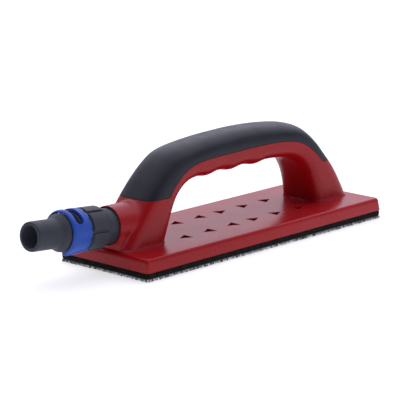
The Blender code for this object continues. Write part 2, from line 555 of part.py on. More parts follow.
def main():
    clear_scene()
    red = material("red_plastic", (0.29, 0.014, 0.02), 0.35)
    charcoal = material("soft_grip", (0.03, 0.033, 0.042), 0.55)
    black = material("black_plastic", (0.028, 0.031, 0.036), 0.4)
    blue = material("blue_plastic", (0.04, 0.09, 0.38), 0.35)
    rubber = material("black_rubber", (0.015, 0.015, 0.015), 0.7)
    steel = material("zinc_steel", (0.6, 0.6, 0.58), 0.3, 1.0)
    bush = material("acetal", (0.8, 0.8, 0.78), 0.4)
    hook = material("hook_fabric", (0.05, 0.05, 0.05), 0.9)
    foam = material("foam", (0.012, 0.012, 0.013), 0.85)
    plate = material("grey_plate", (0.12, 0.12, 0.125), 0.5)
    make_sole({"hook": hook, "foam": foam, "plate": plate})
    make_screws(steel)
    make_housing(red)
    make_gasket(rubber)
    make_handle(red)
    make_grip(charcoal)
    make_socket_fittings({"bush": bush, "rubber": rubber, "steel": steel})
    make_spigot(black)
    make_collar(black)
    make_regulator_ring(blue)


main()
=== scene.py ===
"""Looks of the sanding block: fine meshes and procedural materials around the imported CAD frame.

Sizes are in millimetres until a mesh is made. The frame is the CAD's: the origin is the centre of the
sanding face, +Z is up and the dust connector points to -X.
"""

import math  # noqa: E402
import random  # noqa: E402

import bmesh  # noqa: E402
import bpy  # noqa: E402
import numpy as np  # noqa: E402
from mathutils import Matrix, Quaternion, Vector  # noqa: E402


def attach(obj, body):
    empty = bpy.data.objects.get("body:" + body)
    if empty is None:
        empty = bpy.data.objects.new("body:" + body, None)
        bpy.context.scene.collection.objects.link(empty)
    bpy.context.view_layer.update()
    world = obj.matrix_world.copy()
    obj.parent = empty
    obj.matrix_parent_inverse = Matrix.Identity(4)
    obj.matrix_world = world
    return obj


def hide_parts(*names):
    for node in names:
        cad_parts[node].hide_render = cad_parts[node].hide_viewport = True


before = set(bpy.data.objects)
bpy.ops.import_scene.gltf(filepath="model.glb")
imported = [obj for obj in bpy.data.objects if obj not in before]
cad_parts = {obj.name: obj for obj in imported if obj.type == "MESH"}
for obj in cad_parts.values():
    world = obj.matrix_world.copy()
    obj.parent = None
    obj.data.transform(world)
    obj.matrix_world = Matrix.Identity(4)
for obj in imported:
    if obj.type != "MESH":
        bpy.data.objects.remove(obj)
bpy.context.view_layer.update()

MM = 0.001
GAP = 0.3
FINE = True

# ---------------------------------------------------------------- sizes that follow the CAD source
# The socket's root is 0.6 mm slimmer here, the column under it 0.45 mm shorter at its front, and the grip's
# edge 0.9 mm higher at the front foot.
SOLE_LENGTH, SOLE_WIDTH = 232.0, 80.0
HOOK_THICKNESS, FOAM_THICKNESS = 2.3, 2.9
FOAM_BOTTOM = HOOK_THICKNESS + GAP
HOUSING_BOTTOM = FOAM_BOTTOM + FOAM_THICKNESS + GAP
SOLE_PLATE_THICKNESS = 2.0
HOUSING_HEIGHT, HOUSING_CORNER = 8.8, 1.6
HOUSING_TOP = HOUSING_BOTTOM + HOUSING_HEIGHT
SOLE_SEAT_INSET, LEDGE_WIDTH = 2.5, 3.0
CHAMBER_FLOOR = HOUSING_BOTTOM + SOLE_PLATE_THICKNESS + GAP
CHAMBER_TOP = HOUSING_TOP - 3.0
DUST_HOLE_RADIUS, DUST_HOLE_PITCH, DUST_HOLE_COLUMNS = 2.5, 24.0, 9
DUST_HOLE_COLUMNS_X = [
    (i - (DUST_HOLE_COLUMNS - 1) / 2) * DUST_HOLE_PITCH for i in range(DUST_HOLE_COLUMNS)
]
DUST_HOLE_ROWS_Y = (-30.0, -10.0, 10.0, 30.0)
TRIANGLE_WIDTH, TRIANGLE_LENGTH, TRIANGLE_DEPTH = 9.0, 8.8, 2.2
TRIANGLE_ROW_Y, TRIANGLE_FIRST_X, TRIANGLE_PITCH, TRIANGLES_PER_SIDE = 15.2, 6.8, 22.8, 3
FOOT_BOTTOM = HOUSING_TOP + GAP
DUCT_X, DUCT_RADIUS = -88.0, 8.0

# Side view of the handle, from the front foot to the rear one: outer x and z, inner x and z, half width.
HANDLE_STATIONS = (
    (-117.8, 2.0, -75.5, 2.0, 17.9), (-112.4, 8.8, -73.5, 8.8, 17.6), (-102.8, 21.0, -68.6, 20.0, 17.1),
    (-93.5, 32.8, -63.8, 30.7, 16.8), (-87.1, 40.9, -59.4, 37.4, 16.6), (-78.8, 50.4, -54.2, 42.0, 16.4),
    (-68.8, 60.0, -48.3, 44.4, 16.1), (-60.0, 65.0, -42.6, 45.2, 15.8), (-47.8, 67.6, -37.0, 45.6, 15.5),
    (-32.0, 69.3, -29.0, 45.8, 15.2), (-16.0, 70.2, -15.0, 45.9, 15.0), (0.0, 70.6, 0.0, 45.9, 15.0),
    (16.0, 70.5, 15.0, 45.8, 15.1), (33.0, 69.5, 30.0, 45.6, 15.3), (50.0, 67.6, 41.0, 45.0, 15.6),
    (61.2, 65.0, 50.0, 43.8, 15.9), (70.2, 60.2, 57.0, 41.3, 16.2), (79.0, 52.2, 62.2, 37.6, 16.5),
    (87.2, 42.4, 66.4, 32.0, 16.8), (95.2, 32.6, 69.6, 25.0, 17.0), (101.9, 22.0, 72.0, 16.8, 17.2),
    (108.6, 8.8, 73.6, 8.8, 17.6), (111.4, 2.0, 74.6, 2.0, 17.9),
)
FOOT_SQUARENESS, GRIP_SQUARENESS, INNER_SQUARENESS = 5.0, 2.6, 3.6
SQUARE_BELOW, ROUND_ABOVE = 8.8, 60.0
FINGER_BUMPS_X, FINGER_BUMP_DEPTH, FINGER_BUMP_PITCH = (-30.0, -6.5, 17.0), 1.5, 24.0
GRIP_THICKNESS = 2.5
# Side view of the grip's lower edge: x, z.
GRIP_EDGE = (
    (-130.0, 38.2), (-71.6, 38.1), (-69.6, 39.2), (-67.4, 42.4), (-63.5, 46.3), (-58.9, 50.0), (-53.6, 52.9),
    (-47.0, 55.3), (-35.7, 56.9), (-20.9, 57.4), (-9.5, 57.6), (11.9, 58.0), (33.8, 57.8), (50.4, 56.1),
    (59.5, 53.5), (67.5, 49.2), (74.4, 43.5), (80.0, 38.2), (82.0, 37.2), (130.0, 37.1),
)

CONNECTOR_TILT = math.radians(4.6)
SOCKET_RIM = Vector((-113.0, 0.0, HOUSING_BOTTOM + 24.2))
CONNECTOR_FRAME = Matrix.Translation(SOCKET_RIM) @ Matrix((
    (0.0, math.sin(CONNECTOR_TILT), -math.cos(CONNECTOR_TILT)),
    (-1.0, 0.0, 0.0),
    (0.0, math.cos(CONNECTOR_TILT), math.sin(CONNECTOR_TILT)),
)).to_4x4()
SOCKET_RADIUS, SOCKET_ROOT_RADIUS, SOCKET_BORE, SOCKET_FACE, SOCKET_ROOT = 13.0, 15.0, 11.3, -0.6, -31.0
WEB_HALF_WIDTH, WEB_CORNER, WEB_TOP, WEB_REAR, WEB_SETBACK, WEB_LEAN = 12.9, 1.6, 24.0, -80.0, -0.6, 0.08
SOCKET_MOUTH, SOCKET_MOUTH_DEPTH = 12.1, 2.6
NECK_RADIUS, JOURNAL_RADIUS = 11.6, 12.2
COLLAR_START, COLLAR_END, COLLAR_RADIUS, COLLAR_NECK_RADIUS, COLLAR_LOBES = 4.8, 25.0, 14.3, 12.4, 6
COLLAR_PAD_START, COLLAR_PAD_FULL, COLLAR_GROOVE_ANGLE = 7.2, 10.4, 2.0
RING_START, RING_END, RING_RADIUS = 25.3, 41.2, 14.4
SHOULDER_START, NOZZLE_RADIUS, SPIGOT_END = 41.5, 9.6, 66.4
WIDE_BORE_RADIUS = 8.6
WINDOW_ARC, WINDOW_S = (28.0, 140.0), (31.0, 37.6)
PORT_ARC, PORT_S = (31.0, 79.0), (32.5, 36.1)

# ---------------------------------------------------------------- sizes of the visual model only
HANDLE_BOX = ((-119.0, -21.5, 12.4), (116.0, 21.5, 79.0))
GRIP_BOX = ((-119.0, -19.0, 38.0), (116.0, 19.0, 79.0))
GRID_STEP = 0.8 if FINE else 1.3
FOOT_COVE, COVE_REACH = 1.1, 0.7
SOCKET_FILLET, WEB_FILLET, BARREL_OVERRUN = 1.8, 1.0, 3.0
BORE_BOTTOM, BORE_CLEAR, MOUTH_CHAMFER, MOUTH_CHAMFER_DEPTH = -27.0, 6.0, 0.35, 0.5
EDGE_START, EDGE_HEIGHT, EDGE_WIDTH, EDGE_STEPS = 0.7, 3.4, 1.5, 12
FOAM_SWELL, FOAM_OVERLAP, FOAM_LEVELS = 0.25, 0.25, 7
SHEET_INSET = 0.5
BACKING_LOW, BACKING_HIGH, BACKING_CORNER = 1.75, 2.2, 2.2
HOOK_ROW_PITCH, HOOK_RADIUS, HOOK_DROP, HOOK_BEND = 2.1, 0.2, 1.48, 0.75
HOOK_STRAY, HOOK_MARGIN, HOLE_MARGIN = 0.3, 2.0, 0.6
RIM_PITCH, RIM_ROWS, RIM_ROW_STEP, RIM_INSET = 0.95, 3, 0.75, 0.15
GROOVE_RADIUS, GROOVE_HALF_ANGLE = 12.95, 4.6
PAD_CROWN, COLLAR_FRONT_RADIUS, COLLAR_REAR_DROP = 0.16, 12.7, 0.35
RING_LOW_FRONT, RING_LOW_REAR, RING_HIGH = -75.0, -46.0, 200.0
RING_STEPS, RING_LEAST_WALL, RING_FLARE = 180, 0.6, 0.45
LOW_LIP, HIGH_LIP, LIP_FLAT, LOW_LIP_END, HIGH_LIP_END = 0.75, 0.5, 0.7, 2.6, 2.2
REAR_ROUNDING, FRONT_ROUNDING, REAR_SHARE, FRONT_SHARE = 0.45, 1.3, 0.04, 0.17
SCALLOP_DEGREES, SCALLOP_DEPTH = 26.0, 1.1

CAMERA_PLACE = Vector((-1.10953, -1.02981, 0.38989))
CAMERA_VIEW = Vector((0.70502, 0.66983, -0.23300))
CAMERA_ROLL = math.radians(0.3047)
CAMERA_LENS = 207.6

FLOOR_REACH = 9000.0
# Soft light from the world: aim, cosine of the angle where it fades out, cosine where it is full, power.
LIGHT_PATCHES = (
    ((0.35, 0.32, 0.88), 0.4, 0.85, 1.6),
    ((0.72, 0.69, 0.12), 0.6, 0.88, 0.08),
    ((0.6, -0.75, 0.35), 0.5, 0.95, 0.3),
    ((0.3, -0.93, 0.2), 0.95, 0.975, 0.75),
)
AMBIENT_LIGHT = 0.14
LIGHT_COLOUR = (0.97, 0.965, 1.12, 1.0)


# ---------------------------------------------------------------- mesh helpers
def new_piece(name, points, faces, smooth_angle=35.0, place=None):
    """A mesh object from points in millimetres, normals out, smooth but for edges over the angle."""
    data = bpy.data.meshes.new(name)
    if isinstance(points, np.ndarray):
        data.from_pydata((points * MM).tolist(), [], faces.tolist())
    else:
        data.from_pydata([(place @ Vector(p) if place else Vector(p)) * MM for p in points], [], faces)
    shape = bmesh.new()
    shape.from_mesh(data)
    bmesh.ops.recalc_face_normals(shape, faces=shape.faces)
    shape.to_mesh(data)
    shape.free()
    soften(data, smooth_angle)
    thing = bpy.data.objects.new(name, data)
    bpy.context.scene.collection.objects.link(thing)
    return thing


def soften(data, angle):
    """Smooth shading, with edges sharper than the angle in degrees kept sharp."""
    data.shade_smooth()
    data.set_sharp_from_angle(angle=math.radians(angle))


def cut(target, cutter, operation="DIFFERENCE"):
    """Applies one exact Boolean and removes the cutter."""
    modifier = target.modifiers.new("cut", "BOOLEAN")
    modifier.object, modifier.operation, modifier.solver = cutter, operation, "EXACT"
    bpy.context.view_layer.update()
    graph = bpy.context.evaluated_depsgraph_get()
    made = bpy.data.meshes.new_from_object(target.evaluated_get(graph))
    target.modifiers.remove(modifier)
    old = target.data
    target.data = made
    bpy.data.meshes.remove(old)
    bpy.data.objects.remove(cutter)


def loft(name, rings, place=None, angle=35.0):
    """A solid skin over rings of points, closed at both ends."""
    count = len(rings[0])
    faces = [tuple(range(count)), tuple(range(len(rings) * count - 1, (len(rings) - 1) * count - 1, -1))]
    for i in range(len(rings) - 1):
        for j in range(count):
            a, b = i * count + j, i * count + (j + 1) % count
            faces.append((a, b, b + count, a + count))
    return new_piece(name, [p for ring in rings for p in ring], faces, angle, place)


def rounded_rectangle(length, width, corner, z, corner_points=8):
    ring = []
    for quarter in range(4):
        cx = (length / 2 - corner) * (1 if quarter in (0, 3) else -1)
        cy = (width / 2 - corner) * (1 if quarter in (0, 1) else -1)
        for step in range(corner_points + 1):
            turn = math.pi / 2 * (quarter + step / corner_points)
            ring.append((cx + corner * math.cos(turn), cy + corner * math.sin(turn), z))
    return ring


def circle(radius, z, segments, centre=(0.0, 0.0)):
    turns = [math.tau * i / segments for i in range(segments)]
    return [(centre[0] + radius * math.cos(t), centre[1] + radius * math.sin(t), z) for t in turns]


def turned(name, profile, segments, place=None):
    """A solid turned round the Z axis from (z, r) pairs."""
    return loft(name, [circle(r, z, segments) for z, r in profile], place)


def cylinders(name, places, radius, low, high, segments):
    """Upright cylinders at the (x, y) places, in one mesh."""
    points, faces = [], []
    for place in places:
        first = len(points)
        points += circle(radius, low, segments, place) + circle(radius, high, segments, place)
        faces.append(tuple(range(first, first + segments)))
        faces.append(tuple(range(first + 2 * segments - 1, first + segments - 1, -1)))
        for i in range(segments):
            j = (i + 1) % segments
            faces.append((first + i, first + j, first + segments + j, first + segments + i))
    return new_piece(name, points, faces)


def swept(name, profile, turns, point_of, closed=True, place=None, angle=35.0):
    """A closed profile of (s, r) pairs carried round the axis; point_of places each point."""
    points = [point_of(s, r, turn) for turn in turns for s, r in profile]
    count, stations = len(profile), len(turns)
    faces = []
    for i in range(stations if closed else stations - 1):
        for j in range(count):
            near, far = i * count, (i + 1) % stations * count
            faces.append((near + j, near + (j + 1) % count, far + (j + 1) % count, far + j))
    if not closed:
        faces += [tuple(range(count)), tuple(range(stations * count - 1, (stations - 1) * count - 1, -1))]
    return new_piece(name, points, faces, angle, place)


def on_axis(s, r, turn):
    """The point at radius r and angle turn, s along the connector's axis."""
    return (r * math.cos(turn), r * math.sin(turn), s)


def whole_turn(segments):
    return [math.tau * i / segments for i in range(segments)]


def arc_turn(arc, segments):
    return [math.radians(arc[0] + (arc[1] - arc[0]) * i / segments) for i in range(segments + 1)]


# ---------------------------------------------------------------- the handle as a field of distances
def between(before, start, end, after, t):
    """The Catmull-Rom curve through four stations, t of the way from start to end."""
    return [
        0.5 * (2 * b + (c - a) * t + (2 * a - 5 * b + 4 * c - d) * t * t + (3 * b - a - 3 * c + d) * t ** 3)
        for a, b, c, d in zip(before, start, end, after)
    ]


def smooth_stations(stations, steps):
    """The stations with steps of the smooth curve put in between each pair."""
    smooth = []
    for i in range(len(stations) - 1):
        window = [stations[min(max(k, 0), len(stations) - 1)] for k in range(i - 1, i + 3)]
        smooth += [between(*window, step / steps) for step in range(steps)]
    return smooth + [list(stations[-1])]


def squareness(height):
    """The power of the section's curve: square at the feet, rounder towards the grip."""
    rise = min(max((height - SQUARE_BELOW) / (ROUND_ABOVE - SQUARE_BELOW), 0.0), 1.0)
    return FOOT_SQUARENESS + (GRIP_SQUARENESS - FOOT_SQUARENESS) * rise


def finger_bump(x):
    """How far the underside of the grip bulges down at x."""
    depth = 0.0
    for centre in FINGER_BUMPS_X:
        offset = abs(x - centre) / (FINGER_BUMP_PITCH / 2)
        if offset < 1.0:
            depth += FINGER_BUMP_DEPTH * (0.5 + 0.5 * math.cos(math.pi * offset)) ** 1.3
    return depth


class HandleField:
    """Distance to the handle's skin. A side-view table gives, at each (x, z), the section that passes there:
    how far out from its middle the point is, the section's half height, half width and squareness."""

    LOW_X, LOW_Z, STEP = -122.0, 10.0, 0.5
    COLUMNS, ROWS = 482, 144
    STATION_STEPS = 12

    def __init__(self):
        xs = self.LOW_X + self.STEP * np.arange(self.COLUMNS)
        zs = self.LOW_Z + self.STEP * np.arange(self.ROWS)
        px, pz = np.meshgrid(xs, zs, indexing="ij")
        best = np.full(px.shape, 1e3)
        self.table = np.zeros((4,) + px.shape)
        self.table[1:3] = 1.0
        self.table[0], self.table[3] = 30.0, 2.0
        before = None
        for station in smooth_stations(HANDLE_STATIONS, self.STATION_STEPS):
            outer = np.array((station[0], station[1] + HOUSING_BOTTOM))
            inner = np.array((station[2], station[3] + HOUSING_BOTTOM - finger_bump(station[2])))
            middle, reach = (outer + inner) / 2, (outer - inner) / 2
            half = float(np.hypot(*reach))
            ax, az = reach / half
            past = ax * (pz - middle[1]) - az * (px - middle[0])
            out = ax * (px - middle[0]) + az * (pz - middle[1])
            now = (past, out, half, station[4], squareness(station[1]))
            if before is not None:
                crossed = (before[0] > 0) != (now[0] > 0)
                share = np.where(crossed, before[0] / np.where(crossed, before[0] - now[0], 1.0), 0.0)
                mixed = [before[k] + (now[k] - before[k]) * share for k in range(1, 5)]
                ratio = np.abs(mixed[0]) / mixed[1]
                better = crossed & (ratio < best)
                best = np.where(better, ratio, best)
                for k in range(4):
                    self.table[k] = np.where(better, mixed[k], self.table[k])
            before = now

    def skin(self, x, y, z):
        """Distance to the plain D, without the socket."""
        u = np.clip((x - self.LOW_X) / self.STEP, 0, self.COLUMNS - 1.001)
        v = np.clip((z - self.LOW_Z) / self.STEP, 0, self.ROWS - 1.001)
        i, j = u.astype(int), v.astype(int)
        fu, fv = u - i, v - j
        out, half, width, square = (
            t[i, j] * (1 - fu) * (1 - fv) + t[i + 1, j] * fu * (1 - fv)
            + t[i, j + 1] * (1 - fu) * fv + t[i + 1, j + 1] * fu * fv
            for t in self.table
        )
        power = np.where(out > 0, square, np.maximum(square, INNER_SQUARENESS))
        across, up = np.abs(y) / width, np.abs(out) / half
        reach = np.maximum((across ** power + up ** power), 1e-9) ** (1 / power)
        slope = np.hypot(
            (across / reach) ** (power - 1) / width, (up / reach) ** (power - 1) / half
        )
        return (reach - 1) / np.maximum(slope, 1e-3)

    def barrel(self, x, y, z):
        """Distance to the socket's barrel, which runs on past its face so that a cutter can trim it."""
        dx, dz = x - SOCKET_RIM.x, z - SOCKET_RIM.z
        along = -dx * math.cos(CONNECTOR_TILT) + dz * math.sin(CONNECTOR_TILT)
        up = dx * math.sin(CONNECTOR_TILT) + dz * math.cos(CONNECTOR_TILT)
        radius = SOCKET_RADIUS + (SOCKET_ROOT_RADIUS - SOCKET_RADIUS) * along / SOCKET_ROOT
        round_it = np.hypot(y, up) - radius
        return np.maximum(np.maximum(round_it, SOCKET_ROOT - along), along - BARREL_OVERRUN)

    def web(self, x, y, z):
        """Distance to the column under the socket."""
        front = SOCKET_RIM.x + WEB_SETBACK + WEB_LEAN * (z - HOUSING_BOTTOM)
        half_length = (WEB_REAR - front) / 2
        dx = np.abs(x - front - half_length) - half_length + WEB_CORNER
        dy = np.abs(y) - WEB_HALF_WIDTH + WEB_CORNER
        outside, inside = np.hypot(np.maximum(dx, 0), np.maximum(dy, 0)), np.minimum(np.maximum(dx, dy), 0)
        return np.maximum(outside + inside - WEB_CORNER, z - HOUSING_BOTTOM - WEB_TOP)

    def cove(self, z):
        """How far the feet flare out where they stand on the plate."""
        drop = np.clip(1 - (z - FOOT_BOTTOM) / FOOT_COVE, 0, 1)
        return COVE_REACH * (1 - np.sqrt(1 - np.minimum(drop, 0.995) ** 2))

    def body(self, p):
        """Distance to the red handle with its socket, before anything is cut from it."""
        x, y, z = p[..., 0], p[..., 1], p[..., 2]
        leg = self.skin(x, y, z)
        joined = blend_min(self.barrel(x, y, z), self.web(x, y, z), WEB_FILLET)
        return blend_min(leg - self.cove(z), joined, SOCKET_FILLET)

    def grip(self, p):
        """Distance to the skin that the soft grip shares with the plain D."""
        return self.skin(p[..., 0], p[..., 1], p[..., 2])


def blend_min(a, b, radius):
    """The smaller of two distances, rounded where they meet."""
    close = np.maximum(radius - np.abs(a - b), 0)
    return np.minimum(a, b) - close * close / (4 * radius)


def surface_of(name, field, low, high, step):
    """A closed mesh of quads on the surface where the field is 0, its points moved onto it exactly."""
    counts = [int(math.ceil((b - a) / step)) + 1 for a, b in zip(low, high)]
    axes = [a + step * np.arange(n) for a, n in zip(low, counts)]
    grid = np.stack(np.meshgrid(*axes, indexing="ij"), axis=-1)
    values = field(grid)
    for axis in range(3):
        rim = [slice(None)] * 3
        for end in (0, -1):
            rim[axis] = end
            values[tuple(rim)] = np.maximum(values[tuple(rim)], step * 0.5)
    cells = tuple(n - 1 for n in counts)
    total, crossings = np.zeros(cells + (3,)), np.zeros(cells)
    corner = [
        values[i:i + cells[0], j:j + cells[1], k:k + cells[2]] for i in (0, 1) for j in (0, 1) for k in (0, 1)
    ]
    places = [np.array((i, j, k), float) for i in (0, 1) for j in (0, 1) for k in (0, 1)]
    for a in range(8):
        for b in range(a + 1, 8):
            if abs(places[a] - places[b]).sum() != 1:
                continue
            crossed = (corner[a] < 0) != (corner[b] < 0)
            share = np.where(crossed, corner[a] / np.where(crossed, corner[a] - corner[b], 1.0), 0.0)
            total += crossed[..., None] * (places[a] + (places[b] - places[a]) * share[..., None])
            crossings += crossed
    used = crossings > 0
    number = np.full(cells, -1)
    number[used] = np.arange(used.sum())
    origin = np.stack(np.meshgrid(*(a[:-1] for a in axes), indexing="ij"), axis=-1)
    points = (origin + step * total / np.maximum(crossings, 1)[..., None])[used]
    faces = []
    inside = values < 0
    for axis in range(3):
        near, far = [slice(None)] * 3, [slice(None)] * 3
        near[axis], far[axis] = slice(0, -1), slice(1, None)
        flips = inside[tuple(near)] != inside[tuple(far)]
        where = np.argwhere(flips)
        b, c = [k for k in range(3) if k != axis]
        keep = (where[:, b] > 0) & (where[:, c] > 0) & (where[:, b] < cells[b]) & (where[:, c] < cells[c])
        where = where[keep]
        quad = []
        for db, dc in ((0, 0), (-1, 0), (-1, -1), (0, -1)):
            at = where.copy()
            at[:, b] += db
            at[:, c] += dc
            quad.append(number[at[:, 0], at[:, 1], at[:, 2]])
        quad = np.stack(quad, axis=1)
        outward = inside[tuple(near)][tuple(where.T)]
        if axis == 1:
            outward = ~outward
        quad[~outward] = quad[~outward][:, ::-1]
        faces.append(quad)
    faces = np.concatenate(faces)
    probe, least_slope, rounds = 0.02, 0.05, 4
    offsets = np.eye(3) * probe
    for _ in range(rounds):
        value = field(points)
        slope = np.stack([(field(points + o) - field(points - o)) / (2 * probe) for o in offsets], axis=-1)
        size = np.maximum((slope ** 2).sum(axis=1), least_slope)
        points = points - slope * np.clip(value / size, -step / 2, step / 2)[:, None]
    return new_piece(name, points, faces, 60.0)


def grip_region(name, clearance):
    """Everything above the grip's lower edge, moved down by the clearance."""
    line = [(x, z + HOUSING_BOTTOM - clearance) for x, z in GRIP_EDGE]
    edge = [line[0]] + smooth_stations(line[1:-1], 4) + [line[-1]]
    top = HOUSING_BOTTOM + 100.0
    outline = edge + [(edge[-1][0], top), (edge[0][0], top)]
    return loft(name, [[(x, y, z) for x, z in outline] for y in (-SOLE_WIDTH / 2, SOLE_WIDTH / 2)])


def handle_core(name, inset):
    """The D with its skin moved in: the core that the grip is moulded round."""
    rings = []
    count = 48
    for station in smooth_stations(HANDLE_STATIONS, 3):
        outer = Vector((station[0], 0.0, station[1] + HOUSING_BOTTOM))
        inner = Vector((station[2], 0.0, station[3] + HOUSING_BOTTOM - finger_bump(station[2])))
        middle, reach = (outer + inner) / 2, (outer - inner) / 2
        across = reach.normalized()
        square = squareness(station[1])
        ring = []
        for i in range(count):
            turn = math.tau * (i + 0.5) / count
            power = 2 / (square if math.sin(turn) > 0 else max(square, INNER_SQUARENESS))
            y = (station[4] - inset) * math.copysign(abs(math.cos(turn)) ** power, math.cos(turn))
            up = (reach.length - inset) * math.copysign(abs(math.sin(turn)) ** power, math.sin(turn))
            ring.append(middle + across * up + Vector((0.0, y, 0.0)))
        rings.append(ring)
    return loft(name, rings)


def make_handle():
    """The red handle, with the socket's bore and a step for the grip, and the soft grip in that step."""
    field = HandleField()
    body = surface_of("handle", field.body, *HANDLE_BOX, GRID_STEP)
    room_for_grip = grip_region("air", GAP * 0.8)
    cut(room_for_grip, handle_core("core", GRIP_THICKNESS + GAP))
    cut(body, room_for_grip)
    bore = turned("bore", [
        (BORE_BOTTOM, SOCKET_BORE), (-SOCKET_MOUTH_DEPTH, SOCKET_BORE), (-SOCKET_MOUTH_DEPTH, SOCKET_MOUTH),
        (SOCKET_FACE - MOUTH_CHAMFER_DEPTH, SOCKET_MOUTH), (SOCKET_FACE - 0.02, SOCKET_MOUTH + MOUTH_CHAMFER),
        (SOCKET_FACE, SOCKET_RADIUS + BORE_CLEAR), (BORE_CLEAR, SOCKET_RADIUS + BORE_CLEAR),
    ], 128, CONNECTOR_FRAME)
    cut(body, bore)
    below = loft("below", [rounded_rectangle(300.0, 120.0, 1.0, z, 2) for z in (0.0, FOOT_BOTTOM - 0.2)])
    cut(body, below)
    soften(body.data, 40.0)
    grip = surface_of("soft_grip", field.grip, *GRIP_BOX, GRID_STEP)
    cut(grip, grip_region("grip_above", -GAP * 0.2), "INTERSECT")
    cut(grip, handle_core("core", GRIP_THICKNESS))
    soften(grip.data, 40.0)
    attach(body, "block")
    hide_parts("handle_body")
    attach(grip, "block")
    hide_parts("grip_overmould")
    return body, grip


# ---------------------------------------------------------------- plate and pad
def dust_holes(name, radius, low, high):
    places = [(x, y) for x in DUST_HOLE_COLUMNS_X for y in DUST_HOLE_ROWS_Y]
    return cylinders(name, places, radius, low, high, 20)


def cut_mark(tray, side, row, number):
    """Cuts one sunk triangle, its tip pointing away from the middle of the plate."""
    base = side * (TRIANGLE_FIRST_X + number * TRIANGLE_PITCH)
    tip, y, half = base + side * TRIANGLE_LENGTH, row * TRIANGLE_ROW_Y, TRIANGLE_WIDTH / 2
    middle = base * 2 / 3 + tip / 3
    rings = []
    for z, scale in ((HOUSING_TOP - TRIANGLE_DEPTH, 0.97), (HOUSING_TOP - 0.1, 1.0),
                     (HOUSING_TOP + 0.02, 1.02), (HOUSING_TOP + 1.0, 1.02)):
        rings.append([(middle + (px - middle) * scale, y + (py - y) * scale, z)
                      for px, py in ((base, y - half), (tip, y), (base, y + half))])
    cut(tray, loft("mark", rings))


def make_housing():
    """The red tray: a small radius at its foot, leaning sides, an elliptical top edge, twelve marks."""
    outline = [(0.0, 0.35), (0.12, 0.12), (0.4, 0.02)]
    outline.append((HOUSING_HEIGHT - EDGE_HEIGHT, EDGE_START))
    for i in range(1, EDGE_STEPS + 1):
        turn = math.pi / 2 * i / EDGE_STEPS
        outline.append((HOUSING_HEIGHT - EDGE_HEIGHT * (1 - math.sin(turn)),
                        EDGE_START + EDGE_WIDTH * (1 - math.cos(turn))))
    rings = [
        rounded_rectangle(SOLE_LENGTH - 2 * inset, SOLE_WIDTH - 2 * inset, HOUSING_CORNER, HOUSING_BOTTOM + z)
        for z, inset in outline
    ]
    tray = loft("housing", rings, angle=50.0)
    seat = loft("seat", [
        rounded_rectangle(SOLE_LENGTH - 2 * SOLE_SEAT_INSET, SOLE_WIDTH - 2 * SOLE_SEAT_INSET, 1.8, z)
        for z in (HOUSING_BOTTOM - 1.0, CHAMBER_FLOOR)
    ])
    cut(tray, seat)
    inset = SOLE_SEAT_INSET + LEDGE_WIDTH
    cut(tray, loft("chamber", [
        rounded_rectangle(SOLE_LENGTH - 2 * inset, SOLE_WIDTH - 2 * inset, 3.0, z)
        for z in (CHAMBER_FLOOR - 0.5, CHAMBER_TOP)
    ]))
    for side in (-1, 1):
        for number in range(TRIANGLES_PER_SIDE):
            for row in (-1, 1):
                cut_mark(tray, side, row, number)
    cut(tray, cylinders("duct", [(DUCT_X, 0.0)], DUCT_RADIUS, CHAMBER_TOP - 1.0, HOUSING_TOP + 1.0, 48))
    soften(tray.data, 38.0)
    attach(tray, "block")
    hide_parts("base_housing")
    return tray


def make_foam():
    """The pad: flat where it is glued, with cut sides that swell a little between the two skins."""
    rings = []
    for i in range(FOAM_LEVELS):
        t = i / (FOAM_LEVELS - 1)
        growth = 2 * (FOAM_SWELL * math.sin(math.pi * t) - SHEET_INSET)
        height = FOAM_BOTTOM - FOAM_OVERLAP + (FOAM_THICKNESS + 2 * FOAM_OVERLAP) * t
        rings.append(rounded_rectangle(SOLE_LENGTH + growth, SOLE_WIDTH + growth, HOUSING_CORNER, height))
    pad = loft("foam_layer", rings, angle=60.0)
    cut(pad, dust_holes("holes", DUST_HOLE_RADIUS, 0.0, HOUSING_BOTTOM + 1.0))
    soften(pad.data, 60.0)
    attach(pad, "block")
    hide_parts("foam_pad")
    return pad


def make_backing():
    """The hook sheet's woven backing, with the dust holes punched through."""
    length, width = SOLE_LENGTH - 2 * SHEET_INSET, SOLE_WIDTH - 2 * SHEET_INSET
    sheet = loft("hook_backing", [
        rounded_rectangle(length, width, BACKING_CORNER, z) for z in (BACKING_LOW, BACKING_HIGH)
    ])
    cut(sheet, dust_holes("holes", DUST_HOLE_RADIUS, 0.0, 3.0))
    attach(sheet, "block")
    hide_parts("hook_sheet")
    return sheet


def strand(points, faces, root, path, radius):
    """Adds one thin closed strand of three sides, from root along path, and gives its count of faces."""
    first = len(points)
    line = [root + p for p in path]
    for i, p in enumerate(line):
        along = (line[min(i + 1, len(line) - 1)] - line[max(i - 1, 0)]).normalized()
        side = along.cross(Vector((0.3, 0.9, 0.2))).normalized()
        other = along.cross(side)
        thick = radius * (1.0 - 0.35 * i / (len(line) - 1))
        for k in range(3):
            turn = math.tau * k / 3
            points.append(p + side * thick * math.cos(turn) + other * thick * math.sin(turn))
    for i in range(len(line) - 1):
        for k in range(3):
            a, b = first + 3 * i + k, first + 3 * i + (k + 1) % 3
            faces.append((a, b, b + 3, a + 3))
    last = first + 3 * (len(line) - 1)
    faces.append((first, first + 1, first + 2))
    faces.append((last + 2, last + 1, last))
    return 3 * (len(line) - 1) + 2


def hook_path(out, drop, bend):
    """A stem that leans out, turns over at its tip and points back up a little."""
    down = Vector((0, 0, -drop))
    bends = ((0.1, 0.5), (0.4, 0.86), (0.8, 1.0), (1.15, 0.86), (1.2, 0.6))
    return [Vector((0, 0, 0.2))] + [out * bend * reach + down * depth for reach, depth in bends]


